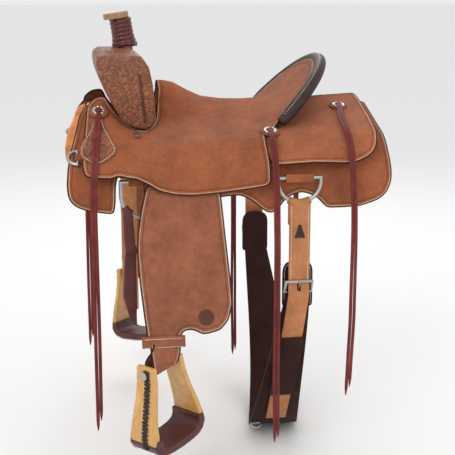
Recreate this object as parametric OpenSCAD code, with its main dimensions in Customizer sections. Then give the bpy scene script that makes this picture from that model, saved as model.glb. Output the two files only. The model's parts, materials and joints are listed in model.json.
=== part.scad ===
/* [Back shape] */
// Half distance between the two side arcs of the skirt section
skirt_cy = 149; // [140:1:155]
// Height of the skirt arc centre
skirt_cz = -134; // [-140:1:-128]
// Radius of the innermost face of the skirt section
skirt_r = 91; // [88:1:94]
// Half distance between the two side arcs of the jockey section
jockey_cy = 183; // [181:1:185]
// Height of the jockey arc centre
jockey_cz = -108; // [-110:1:-106]
// Radius of the outer face of the jockeys
jockey_r = 98.5; // [98:0.5:99.5]
// Rise of the whole back line towards the rear, in degrees
tilt = 3; // [2:0.5:4]
// Slope of the section behind the fork, in degrees
rear_slope = 15; // [14:1:16]
// Slope of the section in front of the fork, in degrees
front_slope = 36; // [35:1:37]

/* [Leather] */
// Thickness of the fleece lining
fleece_t = 10; // [8:1:10]
// Thickness of the skirts and jockeys
leather_t = 5; // [4:0.5:5]
// Thickness of the fenders
fender_t = 4.5; // [4:0.5:5]
// Thickness of straps
strap_t = 3.5; // [3:0.5:4]

/* [Hanging parts] */
// How far the fenders splay outwards, in degrees
splay = 16; // [15:0.5:17]
// Position of the fender pivots along the saddle
pivot_x = -174; // [-180:1:-166]
// How far the stirrups are turned outwards, in degrees
stirrup_yaw = 42; // [38:1:44]
// How far each stirrup leans in its own plane, in degrees
stirrup_roll = 8; // [4:1:10]
// Outer radius of the rigging dees, to the wire's centre
dee_r = 46; // [44:1:48]
// Radius of the dee wire
wire_r = 4.2; // [3.8:0.1:4.4]

/* [Hardware] */
// Radius of the silver conchos
concho_r = 16; // [14:1:18]
// Radius of the leather rosettes under them
rosette_r = 21; // [19:1:24]
// Radius of the wrapped horn neck
horn_r = 24; // [22:0.5:25]

/* [Hidden] */
$fn = 48;

gap = 0.3;
arc_steps = 12;
floor_z = -420;
x_front = -420;
x_split = -250;
x_lace = 180;
x_rear = 360;
channel = 45;
gullet_half = 62;

russet = [0.65, 0.37, 0.23];
oxblood = [0.37, 0.14, 0.14];
steel = [0.72, 0.72, 0.70];
honey = [0.85, 0.66, 0.35];

// Outline of a skirt, as [x, z] seen from the side
skirt_outline = [
    [-290, 110], [-312, 72], [-330, 46], [-345, 18], [-355, -14], [-365, -42], [-373, -75],
    [-377, -108], [-375, -130], [-366, -145], [-350, -155], [-329, -161], [-300, -166],
    [-281, -168], [-277, -150], [-275, -110], [-269, -88], [-221, -80], [-169, -88],
    [-163, -110], [-161, -150], [-156, -166], [-110, -158], [-54, -138], [-14, -135],
    [10, -146], [37, -169], [52, -177], [69, -171], [82, -151], [100, -138], [121, -132],
    [141, -138], [159, -149], [177, -169], [215, -169], [253, -167], [291, -155],
    [310, -140], [320, -115], [321, -92], [318, -52], [322, 0], [323, 110]];
// Outline of a seat jockey below the seat, with the notch round the fork
jockey_outline = [
    [-297, 62], [-313, 58], [-328, 43], [-335, 0], [-340, -30], [-344, -57],
    [-342, -80], [-328, -88], [-280, -90], [-233, -90], [-212, -101], [-190, -116],
    [-155, -125], [-117, -128], [-58, -124], [6, -117], [40, -112], [49, -104],
    [49, -70], [46, -30], [50, -8], [60, 110], [-163, 110], [-165, 25], [-175, 10],
    [-187, -2], [-205, -10], [-225, -6], [-246, 6], [-262, 20], [-275, 36], [-285, 60]];
// Outline of a rear jockey
rear_jockey_outline = [
    [36, 110], [40, -30], [50, -66], [63, -72], [146, -68], [219, -71], [240, -68],
    [267, -56], [280, -44], [287, -30], [293, -12], [300, 12], [304, 37], [300, 110]];
// Outline of the tooled latigo keeper
keeper_outline = [
    [-302, 34], [-311, 24], [-325, 0], [-340, -20], [-349, -36], [-346, -48],
    [-330, -57], [-317, -63], [-300, -58], [-276, -46], [-270, -36], [-279, -18],
    [-291, 5], [-297, 26]];
// Outline of the fork seen from the side
fork_side = [
    [-306, 136], [-304, 152], [-293, 162], [-262, 164], [-232, 162], [-207, 150],
    [-193, 128], [-186, 90], [-181, 30], [-186, 4], [-205, -5], [-225, -1], [-244, 10],
    [-258, 24], [-274, 50], [-290, 80], [-302, 112]];
// Half outline of the fork seen from the front, and of the arch under it
fork_front = [
    [0, 164], [85, 161], [125, 152], [148, 132], [159, 104], [161, 70], [156, 30],
    [152, -30], [0, -30]];
fork_arch = [[0, 92], [25, 88], [46, 74], [60, 45], [65, 10], [66, -40], [0, -40]];
// Outline of a fender in its own splayed plane: [x, distance down from the pivot]
fender_outline = [
    [-214, 60], [-228, 115], [-236, 165], [-238, 200], [-235, 260], [-229, 325],
    [-224, 372], [-221, 391], [-190, 394], [-156, 389], [-153, 372], [-145, 363],
    [-128, 362], [-106, 374], [-70, 366], [-52, 346], [-42, 312], [-44, 262],
    [-51, 165], [-56, 90], [-60, 62], [-90, 50], [-180, 48]];
// Half outline of the stirrup's outer edge in its own plane: [half width, height]
stirrup_outer = [[46, 16], [49, -20], [58, -60], [69, -100], [76, -135], [75, -152],
                 [66, -168], [48, -178], [0, -180]];
stirrup_inner = [[34, 16], [37, -20], [46, -60], [57, -100], [63, -132], [62, -145],
                 [56, -156], [44, -164], [0, -166]];

// Routes of the strings: [x, distance from the centre plane, z]
front_route = [[-303, 149, 35], [-305, 164, 25], [-308, 190, 5], [-311, 215, -14],
               [-314, 240, -33], [-317, 267, -56], [-320, 279, -85], [-322, 281, -115],
               [-323, 280, -160], [-323, 280, -220], [-323, 280, -280], [-323, 280, -340],
               [-323, 280, -400], [-323, 280, -460], [-323, 280, -520], [-323, 280, -580],
               [-323, 280, -640]];
mid_route = [[59, 210, 0], [59, 224, -5], [58, 240, -12], [57, 258, -25], [57, 272, -45],
             [58, 282, -68], [59, 287, -95], [60, 290, -130], [61, 290, -180],
             [62, 290, -240], [62, 290, -300], [62, 290, -360], [62, 290, -420],
             [62, 290, -480], [62, 290, -540], [63, 290, -600], [64, 290, -655],
             [64, 290, -690]];
rear_route = [[244, 85, 39], [240, 104, 34], [233, 140, 24], [228, 176, 14],
              [226, 208, 4], [225, 236, -10], [225, 256, -29], [225, 271, -52],
              [226, 281, -85], [228, 286, -130], [230, 286, -180], [231, 286, -240],
              [231, 286, -300], [231, 286, -360], [231, 286, -420], [229, 286, -480],
              [227, 286, -540], [225, 286, -590]];

function arc_part(cy, cz, r, slope) =
    [for (k = [0 : arc_steps]) let (a = k * (90 - slope) / arc_steps)
        [cy + r * cos(a), cz + r * sin(a)]];
// Height of the sloping roof at a distance y from the centre plane
function roof(cy, cz, r, slope, y) =
    cz + r * cos(slope) + (cy + r * sin(slope) - y) * tan(slope);
function half_line(cy, cz, r, slope, y0) =
    concat([[cy + r, floor_z]], arc_part(cy, cz, r, slope),
           [[y0, roof(cy, cz, r, slope, y0)]]);
function reversed(list) = [for (k = [len(list) - 1 : -1 : 0]) list[k]];

// A length of shell between two radii, on the near side
module shell_run(cy, cz, r_in, r_out, slope, y0, x0, x1) {
    rotate([0, -tilt, 0])
        translate([x0, 0, 0])
            mirror([0, 1, 0])
                rotate([90, 0, 90])
                    linear_extrude(height = x1 - x0)
                        polygon(concat(half_line(cy, cz, r_out, slope, y0),
                                       reversed(half_line(cy, cz, r_in, slope, y0))));
}

// A prism of a side view outline, on the near side
module side_prism(outline) {
    rotate([90, 0, 0]) linear_extrude(height = 420) polygon(outline);
}

module skirt_shell(n0, n1) {
    shell_run(skirt_cy, skirt_cz, skirt_r + n0, skirt_r + n1, front_slope, gullet_half,
              x_front, x_split);
    shell_run(skirt_cy, skirt_cz, skirt_r + n0, skirt_r + n1, rear_slope, channel,
              x_split, x_lace);
    shell_run(skirt_cy, skirt_cz, skirt_r + n0, skirt_r + n1, rear_slope, 0.5,
              x_lace, x_rear);
}

module jockey_shell(n0, n1, y_front, y_rear) {
    shell_run(jockey_cy, jockey_cz, jockey_r + n0, jockey_r + n1, front_slope, y_front,
              x_front, x_split);
    shell_run(jockey_cy, jockey_cz, jockey_r + n0, jockey_r + n1, rear_slope, y_rear,
              x_split, x_rear);
}

// Everything below the roof of a section, used to trim what stands on it
module below_roof(cy, cz, r, slope, x0, x1) {
    half = half_line(cy, cz, r, slope, 0);
    rotate([0, -tilt, 0]) translate([x0, 0, 0]) rotate([90, 0, 90])
        linear_extrude(height = x1 - x0)
            polygon(concat(half, [for (k = [len(half) - 2 : -1 : 0]) [-half[k][0], half[k][1]]]));
}

// Puts children on the jockey roof at a point, with Z along the surface normal
module on_roof(x, y, z, slope) {
    translate([x, -y, z]) rotate([slope, 0, 0]) children();
}

module near_fleece() {
    color([0.93, 0.87, 0.74]) intersection() {
        skirt_shell(0, fleece_t);
        side_prism(skirt_outline);
    }
}

module near_skirt() {
    color(russet) intersection() {
        skirt_shell(fleece_t + gap, fleece_t + gap + leather_t);
        side_prism(skirt_outline);
    }
}

module near_bar() {
    bar_outline = [[-246, 120], [-246, -60], [-160, -75], [0, -75], [200, -70], [262, -40],
                   [268, 120]];
    color([0.80, 0.70, 0.52]) intersection() {
        shell_run(skirt_cy, skirt_cz, skirt_r + 16, skirt_r + 27, rear_slope, channel + 5,
                  x_split + 3, x_lace + 90);
        side_prism(bar_outline);
    }
}

module both_sides(half) {
    polygon(concat(half, [for (k = [len(half) - 2 : -1 : 1]) [-half[k][0], half[k][1]]]));
}

// The fork's block, shrunk by d on its front, rear, top and side faces
module fork_block(d) {
    difference() {
        intersection() {
            translate([0, 200, 0]) rotate([90, 0, 0])
                linear_extrude(height = 400) offset(delta = -d) polygon(fork_side);
            translate([-330, 0, 0]) rotate([90, 0, 90])
                linear_extrude(height = 180) offset(delta = -d) both_sides(fork_front);
        }
        translate([-340, 0, 0]) rotate([90, 0, 90])
            linear_extrude(height = 200) both_sides(fork_arch);
        below_roof(skirt_cy, skirt_cz, skirt_r + 27.5, rear_slope, x_split, -100);
        below_roof(skirt_cy, skirt_cz, skirt_r + 16, front_slope, -360, x_split);
    }
}

horn_lean = -9;
horn_x = -235;
module on_horn() {
    translate([horn_x, 0, 164]) rotate([0, horn_lean, 0]) children();
}

module tree_fork() {
    color([0.80, 0.70, 0.52]) difference() {
        fork_block(leather_t + gap);
        translate([horn_x - 40, -40, 158]) cube([80, 80, 20]);
    }
}

module fork_cover() {
    color([0.50, 0.29, 0.18]) difference() {
        fork_block(0);
        fork_block(leather_t);
        on_horn() translate([0, 0, -12]) cylinder(r = 17.5, h = 30);
    }
}

module horn_core() {
    cap_r = 28;
    color([0.85, 0.66, 0.42]) difference() {
        union() {
            on_horn() translate([0, 0, -10]) cylinder(r = 17, h = 76);
            on_horn() translate([-8, 0, 66]) cylinder(r = cap_r, h = 12);
        }
        translate([horn_x - 40, -40, 128]) cube([80, 80, 30.3]);
    }
}

module horn_wrap() {
    color(oxblood) on_horn() difference() {
        union() {
            translate([0, 0, 5]) cylinder(r = horn_r, h = 60);
            for (k = [0 : 5]) translate([0, 0, 11 + 9.6 * k])
                rotate_extrude() translate([horn_r - 3, 0]) circle(r = 4.6);
        }
        translate([0, 0, -1]) cylinder(r = 17.4, h = 80);
    }
}

// The leaning plane of the cantle: X across, Y up the slope, Z out of the dish
cantle_slope = 46;
cantle_r = 178;
roll_r = 13;
module on_cantle() {
    translate([85, 0, 8]) rotate([0, -cantle_slope, 0]) rotate([0, 0, -90]) children();
}

module half_disc(r, t) {
    intersection() {
        cylinder(r = r, h = t);
        translate([-r, 0, -1]) cube([2 * r, r, t + 2]);
    }
}

module under_seat(n) {
    below_roof(jockey_cy, jockey_cz, jockey_r + n, rear_slope, x_split, x_rear);
}

module cantle_board() {
    color([0.80, 0.70, 0.52]) difference() {
        on_cantle() translate([0, 0, -13]) half_disc(cantle_r - roll_r - 0.8, 12.6);
        under_seat(0.4);
    }
}

module cantle_binding() {
    color([0.23, 0.16, 0.15]) difference() {
        on_cantle() translate([0, 0, -4])
            rotate_extrude(angle = 180) translate([cantle_r, 0]) circle(r = roll_r);
        under_seat(0.4);
    }
}

module seat() {
    rise = [[-163, 20], [-165, 88], [-150, 88], [-129, 82], [-95, 64], [-64, 50], [-30, 43],
            [-10, 30], [-10, 20]];
    color(russet) {
        for (side = [0, 1]) mirror([0, side, 0]) intersection() {
            jockey_shell(-leather_t, 0, gullet_half + 6, 0);
            side_prism(jockey_outline);
        }
        difference() {
            translate([0, 48, 0]) rotate([90, 0, 0]) linear_extrude(height = 96) polygon(rise);
            under_seat(-2);
        }
        difference() {
            on_cantle() half_disc(cantle_r - roll_r - 0.8, leather_t);
            under_seat(-2);
        }
    }
}

module ground_seat() {
    plate = [[-150, 110], [-150, -20], [150, -20], [150, 110]];
    color([0.75, 0.60, 0.42]) for (side = [0, 1]) mirror([0, side, 0]) intersection() {
        shell_run(jockey_cy, jockey_cz, jockey_r - 13, jockey_r - 11, rear_slope, 0,
                  x_split, x_rear);
        side_prism(plate);
        translate([-200, -110, -100]) cube([400, 110, 300]);
    }
}

module near_rear_jockey() {
    color([0.70, 0.42, 0.27]) intersection() {
        jockey_shell(-leather_t * 2 - gap, -leather_t - gap, gullet_half, 0.5);
        side_prism(rear_jockey_outline);
    }
}

// A dee in the XZ plane: half ring below, straight bar above
module dee(r, w, rise) {
    rotate([90, 0, 0]) rotate([0, 0, 180]) rotate_extrude(angle = 180)
        translate([r, 0]) circle(r = w);
    for (s = [-1, 1]) translate([s * r, 0, 0]) {
        cylinder(r = w, h = rise);
        translate([0, 0, rise]) sphere(r = w);
    }
    translate([-r, 0, rise]) rotate([0, 90, 0]) cylinder(r = w, h = 2 * r);
}

front_dee = [-219, -245, -131];
rear_dee = [114, -264, -107];
dee_rise = 30;
rear_dee_rise = 8;
module near_front_dee() {
    color(steel) translate(front_dee) dee(dee_r, wire_r, dee_rise);
}

module near_rear_dee() {
    color(steel) translate(rear_dee) dee(dee_r, wire_r, rear_dee_rise);
}

// The leather fold that holds a dee's bar
module dee_fold(at, rise, half_w) {
    fold_t = 11.6;
    translate([at[0], at[1], at[2] + rise]) difference() {
        translate([-half_w, -fold_t / 2, -9]) cube([2 * half_w, fold_t, 17]);
        translate([-half_w - 1, 0, 0]) rotate([0, 90, 0])
            cylinder(r = wire_r + 0.4, h = 2 * half_w + 2);
    }
}

module near_rigging() {
    color(russet) {
        dee_fold(front_dee, dee_rise, 30);
        dee_fold(rear_dee, rear_dee_rise, 30);
    }
}

module leather_loops() {
    loop = [[pivot_x - 34, 100], [pivot_x - 34, -48], [pivot_x + 34, -48], [pivot_x + 34, 100]];
    color(russet) for (side = [0, 1]) mirror([0, side, 0]) intersection() {
        shell_run(skirt_cy, skirt_cz, skirt_r + 28, skirt_r + 32, rear_slope, 120,
                  x_split, x_lace);
        side_prism(loop);
    }
}

module near_keeper() {
    color([0.50, 0.29, 0.18]) intersection() {
        shell_run(jockey_cy, jockey_cz, jockey_r + gap, jockey_r + gap + 3.5, front_slope,
                  gullet_half, x_front, x_split);
        side_prism(keeper_outline);
    }
}

// Concho places: [x, distance from the centre plane, z, slope, height above the leather]
concho_at = [[-303, 139, 33, front_slope, 2.6], [60, 206, -8.8, 20, 2],
             [244, 78, 29.6, rear_slope, 1.4]];
module at_conchos() {
    for (side = [0, 1]) mirror([0, side, 0]) for (c = concho_at)
        on_roof(c[0], c[1], c[2], c[3]) translate([0, 0, c[4]]) children();
}

module rosettes() {
    color([0.50, 0.29, 0.18]) at_conchos() cylinder(r = rosette_r, h = 2.5);
}

module conchos() {
    color(steel) at_conchos() translate([0, 0, 2.7]) difference() {
        cylinder(r1 = concho_r, r2 = concho_r - 3, h = 4);
        for (s = [-1, 1]) translate([-6, s * 5 - 1.2, -1]) cube([12, 2.4, 8]);
    }
}

module seat_screws() {
    color(steel) for (side = [0, 1]) mirror([0, side, 0])
        on_roof(-225, 187, -12, rear_slope) translate([0, 0, 1])
            difference() {
                cylinder(r = 7, h = 3);
                translate([-8, -0.8, 2]) cube([16, 1.6, 2]);
            }
}

// Breast collar dees turn on bars that lie along the slope of the skirt
breast_at = [-352, -208, -54];
breast_slope = 36;
breast_r = 19;
breast_wire_r = 3.2;
module on_breast() {
    translate(breast_at) rotate([breast_slope, 0, 0]) children();
}

module near_breast_dee() {
    color(steel) on_breast() rotate([90, 0, 0]) rotate([0, 90, 0])
        dee(breast_r, breast_wire_r, 0);
}

module breast_dee_loops() {
    color(russet) for (side = [0, 1]) mirror([0, side, 0]) on_breast() difference() {
        translate([-5, -9, -6.9]) cube([18, 18, 11.5]);
        rotate([90, 0, 0]) translate([0, 0, -12]) cylinder(r = breast_wire_r + 0.4, h = 24);
    }
}

// A tube swept along a route on the near side
function at_side(p) = [p[0], -p[1], p[2]];
function unit(v) = v / norm(v);
function tangent(r, k) = unit(r[min(k + 1, len(r) - 1)] - r[max(k - 1, 0)]);
module swept_tube(route, r, sides) {
    pts = [for (p = route) at_side(p)];
    rings = [for (k = [0 : len(pts) - 1])
        let (t = tangent(pts, k), u = unit(cross(t, [1, 0, 0.01])), v = cross(t, u))
        for (j = [0 : sides - 1]) let (a = 360 * j / sides)
            pts[k] + r * cos(a) * u + r * sin(a) * v];
    n = len(pts);
    polyhedron(points = rings,
        faces = concat([[for (j = [0 : sides - 1]) j]],
            [for (k = [0 : n - 2]) for (j = [0 : sides - 1]) let (m = (j + 1) % sides)
                for (f = [[k * sides + j, (k + 1) * sides + j, (k + 1) * sides + m],
                          [k * sides + j, (k + 1) * sides + m, k * sides + m]]) f],
            [[for (j = [sides - 1 : -1 : 0]) (n - 1) * sides + j]]));
}

string_r = 4;
module near_front_string() {
    color(oxblood) swept_tube(front_route, string_r, 8);
}

module near_mid_string() {
    color(oxblood) swept_tube(mid_route, string_r, 8);
}

module near_rear_string() {
    color(oxblood) swept_tube(rear_route, string_r, 8);
}

// A leather sleeve round the lowest part of a dee's wire, wide along the wire
module wire_sleeve(span) {
    rotate([90, 0, 0]) rotate([0, 0, 270 - span / 2]) rotate_extrude(angle = span)
        translate([dee_r, 0]) difference() {
            circle(r = wire_r + 0.5 + strap_t);
            circle(r = wire_r + 0.5);
        }
}

module latigo() {
    at = front_dee;
    in_y = wire_r + 0.5;
    color(oxblood) translate(at) {
        rotate([0, 45, 0]) wire_sleeve(28);
        for (s = [-1, 1]) translate([0, s * (in_y + strap_t / 2), 0])
            rotate([90, 0, 0]) translate([0, 0, -strap_t / 2]) linear_extrude(height = strap_t)
                polygon([[-44, -24], [-22, -42], [-17, -120], [-17, -270 - 20 * s],
                         [-30, -262 - 20 * s], [-46, -220], [-40, -120], [-42, -60]]);
        translate([-40, -11, -124]) cube([25, 22, 14]);
    }
}

module off_billet() {
    in_y = wire_r + 0.5;
    mirror([0, 1, 0]) color([0.70, 0.42, 0.27]) translate(front_dee) {
        wire_sleeve(50);
        for (s = [-1, 1]) translate([-20, s * (in_y + strap_t / 2) - strap_t / 2, -400])
            difference() {
                cube([40, strap_t, 352]);
                for (k = [0 : 9]) translate([20, -1, 30 + 25 * k]) rotate([-90, 0, 0])
                    cylinder(r = 3, h = strap_t + 2);
            }
    }
}

// The rear billets hang from the rear dees and carry the flank cinch.
// The cinch is a deep U under the saddle, skewed forward on the near side.
billet_w = 46;
billet_in = wire_r + 0.5;
heel_y = -3.5;
heel_z = -245;
cinch_side = -rear_dee[1] + heel_y;
cinch_top = rear_dee[2] + heel_z - 6;
cinch_drop = 395;
cinch_t = 6;
cinch_skew = 26;
u_steps = 30;

function u_point(a) =
    [rear_dee[0] + cinch_skew * sin(2 * a), cinch_side * sin(a), cinch_top - cinch_drop * cos(a)];
function u_normal(a) = unit([0, cinch_drop * sin(a), -cinch_side * cos(a)]);

// A band along the U from angle a0 to a1 (-90 is the near end), between two normal offsets,
// with half widths that go from w_end at the ends of the U to w_mid at its lowest point
module u_band(a0, a1, n0, n1, w_end, w_mid, dx, steps) {
    sections = [for (k = [0 : steps])
        let (a = a0 + (a1 - a0) * k / steps, c = u_point(a) + [dx, 0, 0], n = u_normal(a),
             w = w_end + (w_mid - w_end) * cos(a))
        for (q = [[-w, n0], [w, n0], [w, n1], [-w, n1]]) c + [q[0], 0, 0] + n * q[1]];
    polyhedron(points = sections,
        faces = concat([[0, 1, 2, 3]],
            [for (k = [0 : steps - 1]) for (j = [0 : 3]) let (m = (j + 1) % 4)
                for (f = [[4 * k + j, 4 * k + 4 + j, 4 * k + 4 + m],
                          [4 * k + j, 4 * k + 4 + m, 4 * k + m]]) f],
            [[3 + 4 * steps, 2 + 4 * steps, 1 + 4 * steps, 4 * steps]]));
}

module billet_half() {
    ply_top = -95;
    slot_low = heel_z + 3;
    strap_low = cinch_top - rear_dee[2];
    translate(rear_dee) {
        wire_sleeve(60);
        for (s = [-1, 1])
            translate([-billet_w / 2, s * (billet_in + strap_t / 2) - strap_t / 2, ply_top])
                cube([billet_w, strap_t, 48]);
        translate([-billet_w / 2, -billet_in - strap_t, strap_low]) difference() {
            cube([billet_w, strap_t, ply_top - strap_low]);
            translate([billet_w / 2 - 4, -1, slot_low - strap_low]) cube([8, 10, 18]);
        }
    }
}

tail_n = -rear_dee[1] + billet_in - cinch_side;
tail_end = 35;
module rear_billets() {
    half_w = billet_w / 2;
    color([0.75, 0.50, 0.33]) {
        for (side = [0, 1]) mirror([0, side, 0]) billet_half();
        u_band(-90, -tail_end, tail_n, tail_n + strap_t, half_w, half_w, 0, 12);
        u_band(tail_end, 90, tail_n, tail_n + strap_t, half_w, half_w, 0, 12);
    }
}

module on_heel() {
    translate([rear_dee[0], -cinch_side, rear_dee[2] + heel_z]) children();
}

module flank_cinch() {
    color([0.18, 0.10, 0.09]) {
        u_band(-90, 90, -cinch_t / 2, cinch_t / 2, 27, 60, 0, u_steps);
        for (side = [0, 1]) mirror([0, side, 0]) on_heel() for (s = [0, 1])
            mirror([s, 0, 0]) translate([3.4, 0, 0]) rotate([0, 90, 0]) difference() {
                cylinder(r = 6.4, h = 21);
                translate([0, 0, -1]) cylinder(r = 3.3, h = 23);
            }
    }
}

// A buckle: heel bar behind the billet, roller in front of it
bar_r = 3;
leg_x = 29;
roller_at = [0, -15.5, 27];
module buckle() {
    leg = norm(roller_at);
    lean = atan2(-roller_at[1], roller_at[2]);
    translate([-leg_x, 0, 0]) rotate([0, 90, 0]) cylinder(r = bar_r, h = 2 * leg_x);
    translate(roller_at) translate([-leg_x, 0, 0]) rotate([0, 90, 0])
        cylinder(r = bar_r, h = 2 * leg_x);
    for (s = [-1, 1]) translate([s * leg_x, 0, 0]) {
        rotate([lean, 0, 0]) cylinder(r = bar_r, h = leg);
        sphere(r = bar_r);
        translate(roller_at) sphere(r = bar_r);
    }
}

module cinch_buckles() {
    color(steel) for (side = [0, 1]) mirror([0, side, 0]) on_heel() buckle();
}

module near_tongue() {
    color(steel) on_heel() difference() {
        union() {
            translate([-2.2, 0, 0]) rotate([0, 90, 0]) cylinder(r = 5.2, h = 4.4);
            rotate([38.8, 0, 0]) cylinder(r = 1.6, h = 38);
        }
        translate([-5, 0, 0]) rotate([0, 90, 0]) cylinder(r = 3.3, h = 10);
    }
}

module cinch_keepers() {
    keeper_n = tail_n + strap_t + 0.6;
    half_w = billet_w / 2 + 1;
    color([0.18, 0.10, 0.09]) for (a = [-76, 52]) {
        u_band(a, a + 24, keeper_n, keeper_n + 3, half_w + 3, half_w + 3, 0, 6);
        for (s = [-1, 1])
            u_band(a, a + 24, cinch_t / 2 + 0.3, keeper_n + 1, 1.5, 1.5, s * (half_w + 1.5), 6);
    }
}

module cinch_dee() {
    a = -27;
    color(steel) translate(u_point(a) + u_normal(a) * 8 + [-44, 0, 0])
        rotate([atan2(-u_normal(a)[1], -u_normal(a)[2]) - 90, 0, 0]) dee(11, 2, 2);
}

// The fenders and stirrup leathers lie in planes that splay outwards
pivot_y = -249;
pivot_z = -50;
module on_fender() {
    translate([pivot_x, pivot_y, pivot_z]) rotate([-splay, 0, 0]) children();
}

// A flat piece in the fender's plane, from y0 to y1 along its normal
module fender_plate(y0, y1) {
    translate([0, y1, 0]) rotate([90, 0, 0]) linear_extrude(height = y1 - y0) children();
}

module near_fender() {
    color([0.60, 0.38, 0.28]) on_fender() fender_plate(-fender_t / 2, fender_t / 2)
        polygon([for (p = fender_outline) [p[0] - pivot_x, -p[1]]]);
}

strap_in = fender_t / 2 + 0.3;
bolt_at = [-198, -364, -468];
module on_stirrup() {
    translate(bolt_at) rotate([0, 0, stirrup_yaw]) rotate([0, -stirrup_roll, 0]) children();
}

module near_stirrup_leather() {
    end_x = bolt_at[0] - pivot_x;
    sleeve_w = 52;
    color([0.60, 0.38, 0.28]) {
        on_fender() fender_plate(strap_in, strap_in + 4) {
            translate([0, -44]) circle(r = 32);
            polygon([[-32, -44], [32, -44], [end_x + 31, -394], [end_x - 31, -394]]);
        }
        hull() {
            on_fender() fender_plate(strap_in, strap_in + 4)
                translate([end_x - 31, -395]) square([62, 1]);
            on_stirrup() translate([-22, -3.5, 8]) cube([44, 7, 1.5]);
        }
        on_stirrup() translate([-sleeve_w / 2, 0, 0]) rotate([0, 90, 0]) difference() {
            cylinder(r = 11, h = sleeve_w);
            translate([0, 0, -1]) cylinder(r = 6.8, h = sleeve_w + 2);
        }
    }
}

module near_hobble_strap() {
    low = -396;
    high = -372;
    x0 = bolt_at[0] - pivot_x - 32.5;
    color(russet) on_fender() difference() {
        translate([x0 - 3.5, -fender_t / 2 - 4, low]) cube([89, fender_t + 12, high - low]);
        translate([x0, -fender_t / 2 - 0.8, low - 1]) cube([82, fender_t + 5.8, high - low + 2]);
    }
}

module near_stirrup_bolt() {
    color(steel) on_stirrup() {
        translate([-50, 0, 0]) rotate([0, 90, 0]) cylinder(r = 6, h = 100);
        for (s = [0, 1]) mirror([s, 0, 0]) translate([49.5, 0, 0]) rotate([0, 90, 0])
            cylinder(r = 9, h = 4);
    }
}

module mirrored_outline(half) {
    polygon(concat(half, [for (k = [len(half) - 2 : -1 : 0]) [-half[k][0], half[k][1]]]));
}

module near_stirrup() {
    color(honey) on_stirrup() difference() {
        intersection() {
            translate([0, 50, 0]) rotate([90, 0, 0]) linear_extrude(height = 100) difference() {
                mirrored_outline(stirrup_outer);
                mirrored_outline(stirrup_inner);
                translate([-34, 10]) square([68, 10]);
            }
            translate([-100, 0, 0]) rotate([90, 0, 90]) linear_extrude(height = 200)
                polygon([[-24, 18], [24, 18], [28, -60], [37, -130], [38, -185], [-38, -185],
                         [-37, -130], [-28, -60]]);
        }
        translate([-60, 0, 0]) rotate([0, 90, 0]) cylinder(r = 6.3, h = 120);
    }
}

module near_tread() {
    color(oxblood) on_stirrup() translate([-43, -34, -163.6]) cube([86, 68, 5]);
}

module off_fleece() {
    mirror([0, 1, 0]) near_fleece();
}

module off_skirt() {
    mirror([0, 1, 0]) near_skirt();
}

module off_bar() {
    mirror([0, 1, 0]) near_bar();
}

module off_rear_jockey() {
    mirror([0, 1, 0]) near_rear_jockey();
}

module off_front_dee() {
    mirror([0, 1, 0]) near_front_dee();
}

module off_rear_dee() {
    mirror([0, 1, 0]) near_rear_dee();
}

module off_rigging() {
    mirror([0, 1, 0]) near_rigging();
}

module off_keeper() {
    mirror([0, 1, 0]) near_keeper();
}

module off_breast_dee() {
    mirror([0, 1, 0]) near_breast_dee();
}

module off_front_string() {
    mirror([0, 1, 0]) near_front_string();
}

module off_mid_string() {
    mirror([0, 1, 0]) near_mid_string();
}

module off_rear_string() {
    mirror([0, 1, 0]) near_rear_string();
}

module off_tongue() {
    mirror([0, 1, 0]) near_tongue();
}

module off_fender() {
    mirror([0, 1, 0]) near_fender();
}

module off_stirrup_leather() {
    mirror([0, 1, 0]) near_stirrup_leather();
}

module off_hobble_strap() {
    mirror([0, 1, 0]) near_hobble_strap();
}

module off_stirrup_bolt() {
    mirror([0, 1, 0]) near_stirrup_bolt();
}

module off_stirrup() {
    mirror([0, 1, 0]) near_stirrup();
}

module off_tread() {
    mirror([0, 1, 0]) near_tread();
}

near_fleece();
off_fleece();
near_skirt();
off_skirt();
near_bar();
off_bar();
tree_fork();
fork_cover();
horn_core();
horn_wrap();
seat();
ground_seat();
cantle_board();
cantle_binding();
near_rear_jockey();
off_rear_jockey();
near_front_dee();
off_front_dee();
near_rear_dee();
off_rear_dee();
near_rigging();
off_rigging();
leather_loops();
near_keeper();
off_keeper();
rosettes();
conchos();
seat_screws();
breast_dee_loops();
near_breast_dee();
off_breast_dee();
near_front_string();
near_mid_string();
near_rear_string();
off_front_string();
off_mid_string();
off_rear_string();
latigo();
off_billet();
rear_billets();
flank_cinch();
cinch_buckles();
near_tongue();
off_tongue();
cinch_keepers();
cinch_dee();
near_fender();
off_fender();
near_stirrup_leather();
off_stirrup_leather();
near_hobble_strap();
off_hobble_strap();
near_stirrup_bolt();
off_stirrup_bolt();
near_stirrup();
off_stirrup();
near_tread();
off_tread();
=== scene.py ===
import json
import math

import bpy
import bmesh
import numpy as np
from mathutils import Matrix, Vector
from mathutils.bvhtree import BVHTree
from mathutils.geometry import delaunay_2d_cdt

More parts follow.
